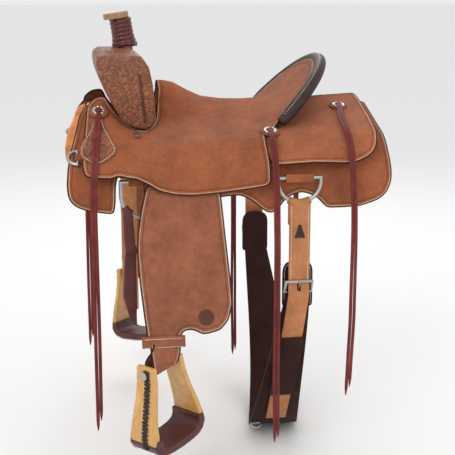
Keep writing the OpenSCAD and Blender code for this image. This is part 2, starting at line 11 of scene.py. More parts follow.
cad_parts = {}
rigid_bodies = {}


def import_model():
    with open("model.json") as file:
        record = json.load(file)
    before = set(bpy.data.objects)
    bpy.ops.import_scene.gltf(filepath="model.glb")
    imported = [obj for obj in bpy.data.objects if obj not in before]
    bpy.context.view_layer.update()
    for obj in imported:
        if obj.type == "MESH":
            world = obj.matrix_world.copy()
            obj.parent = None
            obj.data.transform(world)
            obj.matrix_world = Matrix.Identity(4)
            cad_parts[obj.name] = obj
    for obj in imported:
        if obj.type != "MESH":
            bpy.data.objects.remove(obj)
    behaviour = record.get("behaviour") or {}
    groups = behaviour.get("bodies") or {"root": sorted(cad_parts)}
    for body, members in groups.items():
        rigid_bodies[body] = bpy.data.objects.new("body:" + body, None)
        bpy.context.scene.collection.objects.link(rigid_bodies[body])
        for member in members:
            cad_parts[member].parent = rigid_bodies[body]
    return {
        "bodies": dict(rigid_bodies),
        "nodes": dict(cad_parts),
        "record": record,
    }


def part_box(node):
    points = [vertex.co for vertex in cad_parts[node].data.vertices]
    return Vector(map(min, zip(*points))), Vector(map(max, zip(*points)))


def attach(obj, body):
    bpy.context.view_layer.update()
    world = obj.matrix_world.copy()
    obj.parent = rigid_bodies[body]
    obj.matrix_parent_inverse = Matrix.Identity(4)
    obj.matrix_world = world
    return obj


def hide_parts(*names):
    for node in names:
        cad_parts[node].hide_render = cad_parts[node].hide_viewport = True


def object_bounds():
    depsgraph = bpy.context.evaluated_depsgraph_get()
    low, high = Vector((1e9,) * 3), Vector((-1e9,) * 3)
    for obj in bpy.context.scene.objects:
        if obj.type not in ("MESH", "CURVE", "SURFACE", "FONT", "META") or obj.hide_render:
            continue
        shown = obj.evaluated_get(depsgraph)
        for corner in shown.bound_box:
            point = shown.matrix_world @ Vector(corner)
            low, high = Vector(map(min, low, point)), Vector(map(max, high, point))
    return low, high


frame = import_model()
cad_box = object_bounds()
RNG = np.random.default_rng(7)
MM = 0.001

# -------------------- design values, in millimetres
TILT = math.radians(3)
REAR_SLOPE, FRONT_SLOPE = math.radians(15), math.radians(36)
SKIRT = (149, -134, 103.8)
FLEECE = (149, -134, 96)
SEAT = (183, -108, 96)
REAR_JOCKEY = (183, -108, 90.7)
KEEPER = (183, -108, 100.5)
SPLAY = math.radians(16)
PIVOT = np.array([-174, -249, -50])
BOLT = np.array([-198, -364, -468])
YAW, ROLL = math.radians(42), math.radians(8)
HORN_AT, HORN_LEAN = np.array([-235, 0, 164]), math.radians(-9)
CANTLE_AT, CANTLE_SLOPE, CANTLE_R = np.array([85, 0, 8]), math.radians(46), 178

SKIRT_EDGE = [(-290, 110), (-312, 72), (-330, 46), (-345, 18), (-355, -14), (-365, -42), (-373, -75),
              (-377, -108), (-375, -130), (-366, -145), (-350, -155), (-329, -161), (-300, -166),
              (-281, -168), (-277, -150), (-275, -110), (-269, -88), (-221, -80), (-169, -88),
              (-163, -110), (-161, -150), (-156, -166), (-110, -158), (-54, -138), (-14, -135),
              (10, -146), (37, -169), (52, -177), (69, -171), (82, -151), (100, -138), (121, -132),
              (141, -138), (159, -149), (177, -169), (215, -169), (253, -167), (291, -155),
              (310, -140), (320, -115), (321, -92), (318, -52), (322, 0), (323, 110)]
JOCKEY_EDGE = [(-297, 62), (-313, 58), (-328, 43), (-335, 0), (-340, -30), (-344, -57), (-342, -80),
               (-328, -88), (-280, -90), (-233, -90), (-212, -101), (-190, -116), (-155, -125),
               (-117, -128), (-58, -124), (6, -117), (40, -112), (49, -104), (49, -70), (46, -30),
               (50, -8)]
FORK_NOTCH = [(-165, 25), (-175, 10), (-187, -2), (-205, -10), (-225, -6), (-246, 6), (-262, 20),
              (-275, 36), (-285, 60)]
REAR_EDGE = [(36, 110), (40, -30), (50, -66), (63, -72), (146, -68), (219, -71), (240, -68),
             (267, -56), (280, -44), (287, -30), (293, -12), (300, 12), (304, 37), (300, 110)]
KEEPER_EDGE = [(-302, 34), (-311, 24), (-325, 0), (-340, -20), (-349, -36), (-346, -48), (-330, -57),
               (-317, -63), (-300, -58), (-276, -46), (-270, -36), (-279, -18), (-291, 5), (-297, 26)]
FENDER_EDGE = [(-214, 60), (-228, 115), (-236, 165), (-238, 200), (-235, 260), (-229, 325),
               (-224, 372), (-221, 391), (-190, 394), (-156, 389), (-153, 372), (-145, 363),
               (-128, 362), (-106, 374), (-70, 366), (-52, 346), (-42, 312), (-44, 262),
               (-51, 165), (-56, 90), (-60, 62), (-90, 50), (-180, 48)]
SEAT_LINE = [(-175, 90), (-165, 88), (-150, 87.5), (-129, 83), (-95, 64), (-64, 50), (-18, 43.5),
             (37, 42), (85, 46)]

# Routes of the strings, as in the CAD: x, distance from the centre plane, z
ROUTES = {
    "front": [(-303, 149, 35), (-305, 164, 25), (-308, 190, 5), (-311, 215, -14), (-314, 240, -33),
              (-317, 267, -56), (-320, 279, -85), (-322, 281, -115), (-323, 280, -160),
              (-323, 280, -220), (-323, 280, -280), (-323, 280, -340), (-323, 280, -400),
              (-323, 280, -460), (-323, 280, -520), (-323, 280, -580), (-323, 280, -640)],
    "mid": [(59, 210, 0), (59, 224, -5), (58, 240, -12), (57, 258, -25), (57, 272, -45),
            (58, 282, -68), (59, 287, -95), (60, 290, -130), (61, 290, -180), (62, 290, -240),
            (62, 290, -300), (62, 290, -360), (62, 290, -420), (62, 290, -480), (62, 290, -540),
            (63, 290, -600), (64, 290, -655), (64, 290, -690)],
    "rear": [(244, 85, 39), (240, 104, 34), (233, 140, 24), (228, 176, 14), (226, 208, 4),
             (225, 236, -10), (225, 256, -29), (225, 271, -52), (226, 281, -85), (228, 286, -130),
             (230, 286, -180), (231, 286, -240), (231, 286, -300), (231, 286, -360),
             (231, 286, -420), (229, 286, -480), (227, 286, -540), (225, 286, -590)]}


# Studio, in metres
FLOOR_GAP, FLOOR_HALF, LIGHTS_AIM_AT = 0.004, 60, Vector((0, 0, -0.25))

# Sheets of leather
OUTLINE_STEP = 3.2          # between points round a sheet's outline
GROOVES = (4.6, 10.5)       # the stitch groove and the crease, from the edge
GROOVE_DEPTHS, GROOVE_WIDTH = (0.55, 0.5), 0.7
LONGEST_GAP = 12            # a path broken by more than this has no stitch across the break
RIM_SPAN = 15               # the distance from the edge that the rim attribute covers


# -------------------- camera, light and floor
def placed(name, data):
    obj = bpy.data.objects.new(name, data)
    bpy.context.collection.objects.link(obj)
    return obj


def place_camera():
    aim, azimuth, elevation, far = Vector((0, 0, -0.264)), math.radians(-9), math.radians(13), 2.5
    out = Vector((math.sin(azimuth) * math.cos(elevation),
                  -math.cos(azimuth) * math.cos(elevation), math.sin(elevation)))
    cam = placed("camera", bpy.data.cameras.new("camera"))
    cam.location = aim + far * out
    cam.rotation_euler = out.to_track_quat("Z", "Y").to_euler()
    cam.data.lens, cam.data.sensor_width = 82.8, 36
    bpy.context.scene.camera = cam


def area_light(name, at, size, power):
    data = bpy.data.lights.new(name, "AREA")
    data.size, data.energy = size, power
    lamp = placed(name, data)
    lamp.location = at
    lamp.rotation_euler = (Vector(at) - LIGHTS_AIM_AT).to_track_quat("Z", "Y").to_euler()


def studio():
    floor_z, half = cad_box[0][2] - FLOOR_GAP, FLOOR_HALF
    mesh = bpy.data.meshes.new("floor")
    mesh.from_pydata([(-half, -half, floor_z), (half, -half, floor_z), (half, half, floor_z),
                      (-half, half, floor_z)], [], [(0, 1, 2, 3)])
    floor = placed("floor", mesh)
    floor.data.materials.append(plain("floor_white", (0.92, 0.92, 0.92), 0.9))
    world = bpy.data.worlds.new("studio")
    world.use_nodes = True
    colour, strength = world.node_tree.nodes["Background"].inputs[:2]
    colour.default_value, strength.default_value = (1, 1, 1, 1), 0.84
    bpy.context.scene.world = world
    bpy.context.scene.view_settings.view_transform = "Standard"
    area_light("key", (-1.6, -2.6, 2.2), 1.6, 34)
    area_light("fill", (2.2, -2.2, 0.9), 2.0, 9)
    area_light("back", (0.4, 2.4, 1.8), 1.6, 20)


# -------------------- materials
def new_material(name):
    mat = bpy.data.materials.new(name)
    mat.use_nodes = True
    return mat, mat.node_tree, mat.node_tree.nodes["Principled BSDF"]


def plain(name, rgb, rough):
    mat, _, shader = new_material(name)
    shader.inputs["Base Color"].default_value = (*rgb, 1)
    shader.inputs["Roughness"].default_value = rough
    return mat


class Tree:
    """Short calls for building one material's nodes."""

    def __init__(self, name):
        self.mat, self.tree, self.shader = new_material(name)
        self.coord = self.node("ShaderNodeTexCoord").outputs["Object"]

    def feed(self, socket, value):
        """Sets a socket to a number or a colour, or links another node's output to it."""
        if isinstance(value, (int, float)):
            socket.default_value = value
        elif isinstance(value, tuple):
            socket.default_value = (*value, 1)
        elif value is not None:
            self.tree.links.new(value, socket)

    def node(self, kind, **sockets):
        made = self.tree.nodes.new(kind)
        for name, value in sockets.items():
            self.feed(made.inputs[name], value)
        return made

    def stretched(self, scale):
        node = self.node("ShaderNodeMapping", Vector=self.coord)
        node.inputs["Scale"].default_value = scale
        return node.outputs[0]

    def noise(self, scale, detail=3.0, rough=0.55, distort=0.0, coord=None):
        return self.node("ShaderNodeTexNoise", Vector=coord or self.coord, Scale=scale,
                         Detail=detail, Roughness=rough, Distortion=distort).outputs["Fac"]

    def voronoi(self, scale, feature="F1", coord=None):
        node = self.node("ShaderNodeTexVoronoi", Vector=coord or self.coord, Scale=scale)
        node.feature = feature
        return node.outputs["Distance"]

    def ramp(self, value, stops):
        node = self.node("ShaderNodeValToRGB")
        while len(node.color_ramp.elements) < len(stops):
            node.color_ramp.elements.new(0.5)
        for element, (at, rgb) in zip(node.color_ramp.elements, stops):
            element.position, element.color = at, (*rgb, 1)
        self.feed(node.inputs[0], value)
        return node.outputs[0]

    def mix(self, fac, a, b, blend="MIX"):
        node = self.node("ShaderNodeMix")
        node.data_type, node.blend_type = "RGBA", blend
        for at, value in ((0, fac), (6, a), (7, b)):
            self.feed(node.inputs[at], value)
        return node.outputs[2]

    def math(self, op, a, b):
        node = self.node("ShaderNodeMath")
        node.operation = op
        self.feed(node.inputs[0], a)
        self.feed(node.inputs[1], b)
        return node.outputs[0]

    def attribute(self, name):
        node = self.node("ShaderNodeAttribute")
        node.attribute_name = name
        return node.outputs["Fac"]

    def bump(self, height, strength, distance, normal=None):
        return self.node("ShaderNodeBump", Strength=strength, Distance=distance, Height=height,
                         Normal=normal).outputs[0]

    def done(self, color, rough, normal, **sockets):
        for name, value in (("Base Color", color), ("Roughness", rough), ("Normal", normal)):
            self.feed(self.shader.inputs[name], value)
        for name, value in sockets.items():
            self.shader.inputs[name.replace("_", " ")].default_value = value
        return self.mat


def tint(rgb, k):
    return tuple(min(1.0, c * k) for c in rgb)


def leather(name, rgb, rough=0.72, nap=0.5, edge=True, sheen=0.0):
    t = Tree(name)
    cloud = t.ramp(t.noise(13, 5, 0.6), [(0.3, tint(rgb, 0.70)), (0.55, tint(rgb, 0.98)),
                                         (0.75, tint(rgb, 1.16))])
    blotch = t.ramp(t.noise(75, 4, 0.7), [(0.35, (0.78, 0.74, 0.72)), (0.65, (1.1, 1.1, 1.1))])
    cloud = t.mix(0.65, cloud, blotch, "MULTIPLY")
    fibre = t.ramp(t.noise(900, 3, 0.7), [(0.3, (0.72, 0.72, 0.72)), (0.7, (1.18, 1.18, 1.18))])
    color = t.mix(nap, cloud, fibre, "MULTIPLY")
    if edge:
        # the rim ramp darkens the sheet's edge, and paints shade into the crease groove about 10.4 mm in
        rim = t.ramp(t.attribute("rim"), [(0.0, (0.06, 0.055, 0.055)), (0.15, (0.12, 0.10, 0.10)),
                                          (0.20, (1, 1, 1)), (0.62, (1, 1, 1)),
                                          (0.69, (0.34, 0.29, 0.27)), (0.77, (1, 1, 1))])
        color = t.mix(1.0, color, rim, "MULTIPLY")
    normal = t.bump(t.noise(520, 4, 0.7), 0.7 * nap + 0.15, 0.0009)
    normal = t.bump(t.voronoi(420), 0.12, 0.0005, normal)
    return t.done(color, rough, normal, Sheen_Weight=sheen, Sheen_Roughness=0.5,
                  Specular_IOR_Level=0.25)


def tooled_leather(name, rgb):
    """Carved leaves and scrolls on a dark stippled ground."""
    t = Tree(name)
    warp = t.node("ShaderNodeVectorMath", Vector=t.noise(26, 2, 0.5, 1.6))
    warp.operation = "SCALE"
    t.feed(warp.inputs["Scale"], 0.05)
    moved = t.node("ShaderNodeVectorMath", Vector=t.coord)
    moved.operation = "ADD"
    t.feed(moved.inputs[1], warp.outputs[0])
    leaf = t.voronoi(88, "DISTANCE_TO_EDGE", moved.outputs[0])
    scroll = t.math("SINE", t.math("MULTIPLY", t.voronoi(88, "F1", moved.outputs[0]), 21), 0.0)
    stipple = t.voronoi(760)
    outline = t.ramp(leaf, [(0.0, (0, 0, 0)), (0.045, (0.3, 0.3, 0.3)), (0.10, (1, 1, 1))])
    veins = t.ramp(scroll, [(0.0, (0.50, 0.50, 0.50)), (0.35, (1, 1, 1))])
    cloud = t.ramp(t.noise(20, 3), [(0.3, tint(rgb, 0.8)), (0.7, tint(rgb, 1.25))])
    dark = t.mix(outline, (0.42, 0.36, 0.33), (1.0, 1.0, 1.0))
    veined = t.mix(1.0, cloud, t.mix(0.6, veins, (1.0, 1.0, 1.0)), "MULTIPLY")
    color = t.mix(1.0, veined, dark, "MULTIPLY")
    height = t.math("ADD", t.math("MULTIPLY", outline, 0.7), t.math("MULTIPLY", veins, 0.3))
    normal = t.bump(height, 0.9, 0.0014)
    normal = t.bump(stipple, 0.2, 0.0005, normal)
    return t.done(color, 0.46, normal)


def smooth_strap(name, rgb, rough=0.42, shine=0.5):
    t = Tree(name)
    cloud = t.ramp(t.noise(28, 4), [(0.3, tint(rgb, 0.72)), (0.7, tint(rgb, 1.3))])
    normal = t.bump(t.voronoi(520), 0.22, 0.0006)
    normal = t.bump(t.noise(160, 4), 0.18, 0.001, normal)
    spread = t.math("ADD", t.math("MULTIPLY", t.noise(40, 3), 0.2), rough - 0.1)
    return t.done(cloud, spread, normal, Specular_IOR_Level=shine)


def wood(name, rgb, stretch, rough=0.34, coat=0.3):
    t = Tree(name)
    grain = t.noise(1.0, 6, 0.6, 0.4, t.stretched(stretch))
    color = t.ramp(grain, [(0.28, tint(rgb, 0.62)), (0.45, tint(rgb, 0.95)), (0.52, tint(rgb, 0.8)),
                           (0.7, tint(rgb, 1.18))])
    normal = t.bump(grain, 0.12, 0.0008)
    return t.done(color, rough, normal, Coat_Weight=coat, Coat_Roughness=0.25)


def metal(name, rgb, rough):
    t = Tree(name)
    color = t.ramp(t.noise(60, 4), [(0.3, tint(rgb, 0.8)), (0.7, tint(rgb, 1.12))])
    normal = t.bump(t.noise(500, 3), 0.06, 0.0004)
    spread = t.math("ADD", t.math("MULTIPLY", t.noise(90, 3), 0.18), rough - 0.09)
    return t.done(color, spread, normal, Metallic=1.0)


def wool(name):
    t = Tree(name)
    color = t.ramp(t.noise(260, 5, 0.7), [(0.3, (0.48, 0.41, 0.29)), (0.65, (0.86, 0.80, 0.66))])
    normal = t.bump(t.noise(330, 5, 0.75), 0.9, 0.003)
    return t.done(color, 0.95, normal, Sheen_Weight=0.4, Sheen_Roughness=0.6)


ROUGHOUT = (0.345, 0.104, 0.041)
MATS = {
    "fleece": wool("wool_lining"),
    "roughout": leather("roughout_leather", ROUGHOUT, 0.8, 0.55, sheen=0.04),
    "rear_roughout": leather("rear_roughout_leather", (0.39, 0.124, 0.052), 0.8, 0.55, sheen=0.04),
    "fender_leather": leather("fender_roughout_leather", (0.325, 0.112, 0.058), 0.8, 0.6, sheen=0.04),
    "strap_leather": leather("strap_tan_leather", (0.36, 0.135, 0.07), 0.7, 0.4, edge=False),
    "tooled_leather": tooled_leather("carved_leather", (0.31, 0.098, 0.040)),
    "tree_wood": wood("tree_rawhide_wood", (0.55, 0.38, 0.20), (20, 90, 90), 0.6, 0.0),
    "rawhide": smooth_strap("horn_rawhide", (0.36, 0.20, 0.10), 0.6),
    "wrap_leather": smooth_strap("horn_wrap_leather", (0.085, 0.013, 0.010), 0.3),
    "binding_leather": smooth_strap("binding_dark_leather", (0.040, 0.020, 0.017), 0.5, 0.3),
    "string_leather": smooth_strap("string_oxblood_leather", (0.15, 0.022, 0.020), 0.55, 0.25),
    "latigo_leather": smooth_strap("latigo_oxblood_leather", (0.095, 0.014, 0.014), 0.45),
    "billet_leather": leather("billet_tan_leather", (0.50, 0.205, 0.09), 0.62, 0.4, edge=False),
    "cinch_leather": smooth_strap("cinch_brown_leather", (0.030, 0.0095, 0.008), 0.7, 0.16),
    "satin_steel": metal("satin_steel_finish", (0.50, 0.49, 0.47), 0.34),
    "silver": metal("silver_finish", (0.62, 0.61, 0.58), 0.26),
    "stirrup_wood": wood("stirrup_honey_wood", (0.70, 0.385, 0.115), (60, 60, 9)),
    "tread_leather": smooth_strap("tread_oxblood_leather", (0.075, 0.014, 0.013), 0.42)}
THREAD = smooth_strap("cream_thread", (0.76, 0.66, 0.50), 0.8, 0.2)
ROUGHOUT_PLAIN = leather("roughout_fold_leather", ROUGHOUT, 0.8, 0.55, edge=False, sheen=0.04)
FENDER_PLAIN = leather("fender_fold_leather", (0.325, 0.112, 0.058), 0.8, 0.6, edge=False, sheen=0.04)
DARK_LACE = smooth_strap("dark_lace", (0.022, 0.012, 0.010), 0.5)
LIP = smooth_strap("lip_orange_leather", (0.74, 0.27, 0.08), 0.55)
STAMP = leather("stamp_leather", (0.115, 0.044, 0.026), 0.7, 0.4, edge=False)
ROSETTE = leather("rosette_leather", (0.30, 0.095, 0.040), 0.7, 0.4, edge=False)


# -------------------- the curved back
def slope_at(x):
    k = np.clip((np.asarray(x, float) + 285) / 70, 0, 1)
    k = k * k * (3 - 2 * k)
    return FRONT_SLOPE + (REAR_SLOPE - FRONT_SLOPE) * k


def untilt(x, z):
    return x * math.cos(TILT) + z * math.sin(TILT), -x * math.sin(TILT) + z * math.cos(TILT)


def across_from_side(section, points):
    """Side view points become (x, distance from the centre line along the section)."""
    cy, cz, r = section
    out = []
    for px, pz in points:
        x, z = untilt(px, pz)
        a = float(slope_at(x))
        flat = (cy + r * math.sin(a)) / math.cos(a)
        z_tan = cz + r * math.cos(a)
        if z > z_tan:
            out.append((x, max(0.0, flat - (z - z_tan) / math.sin(a))))
        elif z > cz:
            out.append((x, flat + r * (math.acos((z - cz) / r) - a)))
        else:
            out.append((x, flat + r * (math.pi / 2 - a) + cz - z))
    return out


def across_from_plan(points):
    """Plan view points (x, distance from the centre plane) become the same, on the roof only."""
    return [(x, y / math.cos(float(slope_at(x)))) for x, y in points]


def section_surface(section, crown=0.0, rise=None):
    """The surface (x, signed distance across) -> point of a section; crown rounds its ridge."""
    cy, cz, r = section

    def surface(x, t):
        a = slope_at(x)
        side = np.where(t < 0, -1.0, 1.0)
        d = np.sqrt(t * t + crown * crown)
        flat = (cy + r * np.sin(a)) / np.cos(a)
        on_roof = d < flat
        turn = np.clip((d - flat) / r, 0, math.pi / 2 - a)
        past = np.maximum(d - flat - r * (math.pi / 2 - a), 0)
        y = np.where(on_roof, np.abs(t) * np.cos(a), cy + r * np.sin(a + turn))
        z = np.where(on_roof, cz + r * np.cos(a) + (flat - d) * np.sin(a),
                     cz + r * np.cos(a + turn) - past)
        px = x * math.cos(TILT) - z * math.sin(TILT)
        pz = x * math.sin(TILT) + z * math.cos(TILT)
        if rise is not None:
            pz = pz + rise(px, y, pz)
        return np.stack([px, side * y, pz], axis=-1)
    return surface


def seat_rise(x, y, z):
    """What the seat stands above the jockeys: the front rise and the cantle's dish."""
    line_x, line_z = zip(*SEAT_LINE)
    centre = np.interp(x, line_x, line_z) - (36 + 0.0524 * x)
    reach = np.interp(x, (-175, -140, -95, 0), (84, 100, 130, 150))
    fall = np.cos(np.clip(np.abs(y) / reach, 0, 1) * math.pi / 2) ** 2
    fade = np.clip((95 - x) / 40, 0, 1)
    low = centre * fall * fade
    plane = CANTLE_AT[2] + (x - CANTLE_AT[0]) * math.tan(CANTLE_SLOPE) + 3.8 - (z + low)
    blend = np.clip((x - 62) / 34, 0, 1)
    return low + blend * 0.5 * (plane + np.sqrt(plane * plane + 18 ** 2))


# -------------------- sheets of leather
def closed_walk(points, step):
    """Points about step apart round a closed outline."""
    pts = np.array(points, float)
    nxt = np.roll(pts, -1, axis=0)
    out = []
    for a, b in zip(pts, nxt):
        n = max(1, int(round(np.linalg.norm(b - a) / step)))
        out += [a + (b - a) * k / n for k in range(n)]
    return np.array(out)


def rounded_outline(points):
    """Two passes of corner cutting keep the outline's shape and soften its corners."""
    pts = np.array(points, float)
    for _ in range(2):
        nxt = np.roll(pts, -1, axis=0)
        length = np.linalg.norm(nxt - pts, axis=1, keepdims=True)
        cut = np.minimum(0.25, 5 / np.maximum(length, 1e-6))
        pts = np.stack([pts + (nxt - pts) * cut, nxt - (nxt - pts) * cut], axis=1).reshape(-1, 2)
    return pts


def distance_to_edge(points, ring):
    """Distance of each point from the closed outline."""
    nxt = np.roll(ring, -1, axis=0)
    best = np.full(len(points), 1e9)
    for a, b in zip(ring, nxt):
        ab = b - a
        k = np.clip(((points - a) @ ab) / max(ab @ ab, 1e-9), 0, 1)
        best = np.minimum(best, np.linalg.norm(points - (a + k[:, None] * ab), axis=1))
    return best


def inside(points, ring):
    x, y = points[:, 0], points[:, 1]
    hit = np.zeros(len(points), bool)
    nxt = np.roll(ring, -1, axis=0)
    for (x0, y0), (x1, y1) in zip(ring, nxt):
        if y0 != y1:
            cross = ((y0 > y) != (y1 > y)) & (x < (x1 - x0) * (y - y0) / (y1 - y0) + x0)
            hit ^= cross
    return hit


def cut_at(points, x, sign):
    """The part of an outline beyond x on the side that sign says."""
    out = []
    for (ax, at), (bx, bt) in zip(points, points[1:] + points[:1]):
        if (ax - x) * sign >= 0:
            out.append((ax, at))
        if (ax - x) * (bx - x) < 0:
            out.append((x, at + (bt - at) * (x - ax) / (bx - ax)))
    return out


def inset_ring(ring, d):
    """The outline moved in by d, without the points that come too near another side."""
    area = 0.5 * np.sum(ring[:, 0] * np.roll(ring[:, 1], -1) - np.roll(ring[:, 0], -1) * ring[:, 1])
    along = np.roll(ring, -1, axis=0) - np.roll(ring, 1, axis=0)
    along /= np.maximum(np.linalg.norm(along, axis=1, keepdims=True), 1e-9)
    normal = np.stack([-along[:, 1], along[:, 0]], axis=1) * (1 if area > 0 else -1)
    moved = ring + normal * d
    keep = (distance_to_edge(moved, ring) > 0.93 * d) & inside(moved, ring)
    return moved[keep]


def lifted(surface, uv, n):
    """Points at height n along the surface's outer normal."""
    e = 0.5
    u, v = uv[:, 0], uv[:, 1]
    p = surface(u, v)
    normal = np.cross(surface(u + e, v) - surface(u - e, v), surface(u, v + e) - surface(u, v - e))
    normal /= np.maximum(np.linalg.norm(normal, axis=1, keepdims=True), 1e-9)
    return p + normal * np.asarray(n)[:, None]


def make_object(name, verts, faces, mat):
    mesh = bpy.data.meshes.new(name)
    mesh.from_pydata([tuple(v) for v in np.asarray(verts) * MM], [], faces)
    mesh.validate()
    mesh.materials.append(mat)
    mesh.shade_smooth()
    return placed(name, mesh)


def set_rim(obj, distances):
    """Stores each vertex's distance from the sheet's edge, for the dark edge and the painted shade in the
    crease.
    """
    layer = obj.data.attributes.new("rim", "FLOAT", "POINT")
    values = np.clip(np.asarray(distances) / RIM_SPAN, 0, 1)
    layer.data.foreach_set("value", values.astype(np.float32))


def turn_outwards(obj):
    bm = bmesh.new()
    bm.from_mesh(obj.data)
    bmesh.ops.recalc_face_normals(bm, faces=bm.faces)
    bm.to_mesh(obj.data)
    bm.free()


def panel(name, outline, surface, thick, mat, step, grooves=GROOVES, rough=0.0):
    """A sheet of leather with rounded edges, a stitch groove and a crease line."""
    ring = closed_walk(rounded_outline(outline), OUTLINE_STEP)
    edge = min(1.7, 0.45 * thick)
    rows = [0.35 * edge, edge]
    for g in grooves:
        rows += [g - 0.9, g, g + 0.9]
    points = [ring] + [inset_ring(ring, d) for d in rows]
    low, high = ring.min(axis=0), ring.max(axis=0)
    gx, gy = np.meshgrid(np.arange(low[0], high[0], step), np.arange(low[1], high[1], step * 0.87))
    gx = gx + (np.arange(gx.shape[0]) % 2)[:, None] * step / 2
    grid = np.stack([gx.ravel(), gy.ravel()], axis=1)
    grid = grid[inside(grid, ring)]
    grid = grid[distance_to_edge(grid, ring) > rows[-1] + 0.5 * step]
    points = np.concatenate(points + [grid])
    n = len(ring)
    edges = [(k, (k + 1) % n) for k in range(n)]
    co, _, faces, _, _, _ = delaunay_2d_cdt([Vector(p) for p in points], edges, [], 1, 1e-4)
    uv = np.array([tuple(c) for c in co])
    d = distance_to_edge(uv, ring)
    drop = np.where(d < edge, edge - np.sqrt(np.maximum(edge ** 2 - (edge - d) ** 2, 0)), 0)
    top = thick / 2 - drop
    for g, depth in zip(grooves, GROOVE_DEPTHS):
        top -= depth * np.exp(-((d - g) / GROOVE_WIDTH) ** 2)
    bottom = -thick / 2 + drop
    if rough:
        top += RNG.uniform(-rough, rough, len(top)) * (d > edge)
        bottom += RNG.uniform(-rough, rough, len(top)) * (d > edge)
    verts = np.concatenate([lifted(surface, uv, top), lifted(surface, uv, bottom)])
    m = len(uv)
    out, count = [], {}
    for f in faces:
        a, b, c = (uv[k] for k in f[:3])
        if (b[0] - a[0]) * (c[1] - a[1]) - (b[1] - a[1]) * (c[0] - a[0]) < 0:
            f = f[::-1]
        out.append(tuple(f))
        out.append(tuple(k + m for k in f[::-1]))
        for a, b in zip(f, list(f[1:]) + [f[0]]):
            count[(a, b)] = 1
    for a, b in count:
        if (b, a) not in count:
            out.append((b, a, a + m, b + m))
    obj = make_object(name, verts, out, mat)
    set_rim(obj, np.concatenate([d, np.minimum(d, 9)]))
    return obj, ring


def stitches(name, paths, pitch=4.4, length=3.2, radius=0.75, mat=None):
    """A row of short threads along each path; a path is an array of points and one of normals."""
    verts, faces = [], []
    for pts, normals in paths:
        gaps = np.linalg.norm(np.diff(pts, axis=0), axis=1)
        run = np.concatenate([[0], np.cumsum(gaps)])
        for s in np.arange(pitch / 2, run[-1] - pitch / 2, pitch):
            k = min(np.searchsorted(run, s) - 1, len(gaps) - 1)
            if gaps[k] > LONGEST_GAP:
                continue
            f = (s - run[k]) / max(gaps[k], 1e-6)
            p = pts[k] + (pts[k + 1] - pts[k]) * f
            t = (pts[k + 1] - pts[k]) / max(gaps[k], 1e-6)
            nn = normals[k] / np.linalg.norm(normals[k])
            side = np.cross(t, nn)
            base = len(verts)
            for along, width in ((-0.5, 0.35), (-0.28, 1.0), (0.28, 1.0), (0.5, 0.35)):
                for c, h in ((1, 0), (0.5, 0.9), (-0.5, 0.9), (-1, 0), (-0.5, -0.9), (0.5, -0.9)):
                    verts.append(p + t * length * along + (side * c + nn * h) * radius * width)
            for ring in range(3):
                for j in range(6):
                    a, b = base + ring * 6 + j, base + ring * 6 + (j + 1) % 6
                    faces.append((a, b, b + 6, a + 6))
            faces.append(tuple(base + j for j in range(5, -1, -1)))
            faces.append(tuple(base + 18 + j for j in range(6)))
    return make_object(name, verts, faces, mat or THREAD)


def edge_stitches(name, ring, surface, thick, keep, inset=GROOVES[0]):
    """Stitching along the groove of a panel, where keep(u, v) says that it shows."""
    path = inset_ring(ring, inset)
    path = np.concatenate([path, path[:1]])
    height = np.full(len(path), thick / 2 - 0.35)
    pts = lifted(surface, path, height)
    normals = lifted(surface, path, height + 1) - pts
    ok = np.array([keep(u, v) for u, v in path])
    paths, start = [], None
    for k, good in enumerate(list(ok) + [False]):
        if good and start is None:
            start = k
        if not good and start is not None:
            if k - start > 3:
                paths.append((pts[start:k], normals[start:k]))
            start = None
    return stitches(name, paths)


# -------------------- helpers for pieces
def register(obj, body, slot, *nodes):
    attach(obj, body)
    if nodes:
        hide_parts(*nodes)


def mirrored(obj, name):
    """The same piece on the off side."""
    twin = obj.copy()
    twin.data = obj.data.copy()
    twin.name = twin.data.name = name
    twin.data.transform(Matrix.Scale(-1, 4, (0, 1, 0)))
    twin.data.flip_normals()
    bpy.context.collection.objects.link(twin)
    return twin


def pair(obj, body, slot, stem=None):
    """Registers a near piece and its off side twin; stem is the CAD node that each replaces."""
    base = obj.name[len("near_"):]
    twin = mirrored(obj, "off_" + base)
    for side, piece in (("near", obj), ("off", twin)):
        rides = body if body in frame["bodies"] else f"{side}_{body}"
        register(piece, rides, slot, *([f"{side}_{stem}"] if stem else []))
    return obj, twin


def sewn_pair(stem, outline, surface, thick, body, slot, step, keep, node=None,
              grooves=GROOVES, tail="_leather"):
    """A panel with its stitching on each side; node is the CAD node that the panel replaces."""
    obj, ring = panel(f"near_{stem}{tail}", outline, surface, thick, MATS[slot], step, grooves)
    pair(obj, body, slot, node)
    pair(edge_stitches(f"near_{stem}_stitching", ring, surface, thick, keep, grooves[0]), body, slot)


def apply_all(obj):
    bpy.context.view_layer.update()
    deps = bpy.context.evaluated_depsgraph_get()
    mesh = bpy.data.meshes.new_from_object(obj.evaluated_get(deps))
    obj.modifiers.clear()
    old, obj.data = obj.data, mesh
    bpy.data.meshes.remove(old)


def copy_of(node, name, mat):
    source = frame["nodes"][node]
    mesh = source.data.copy()
    mesh.materials.clear()
    mesh.materials.append(mat)
    for poly in mesh.polygons:
        poly.material_index = 0
    return placed(name, mesh)


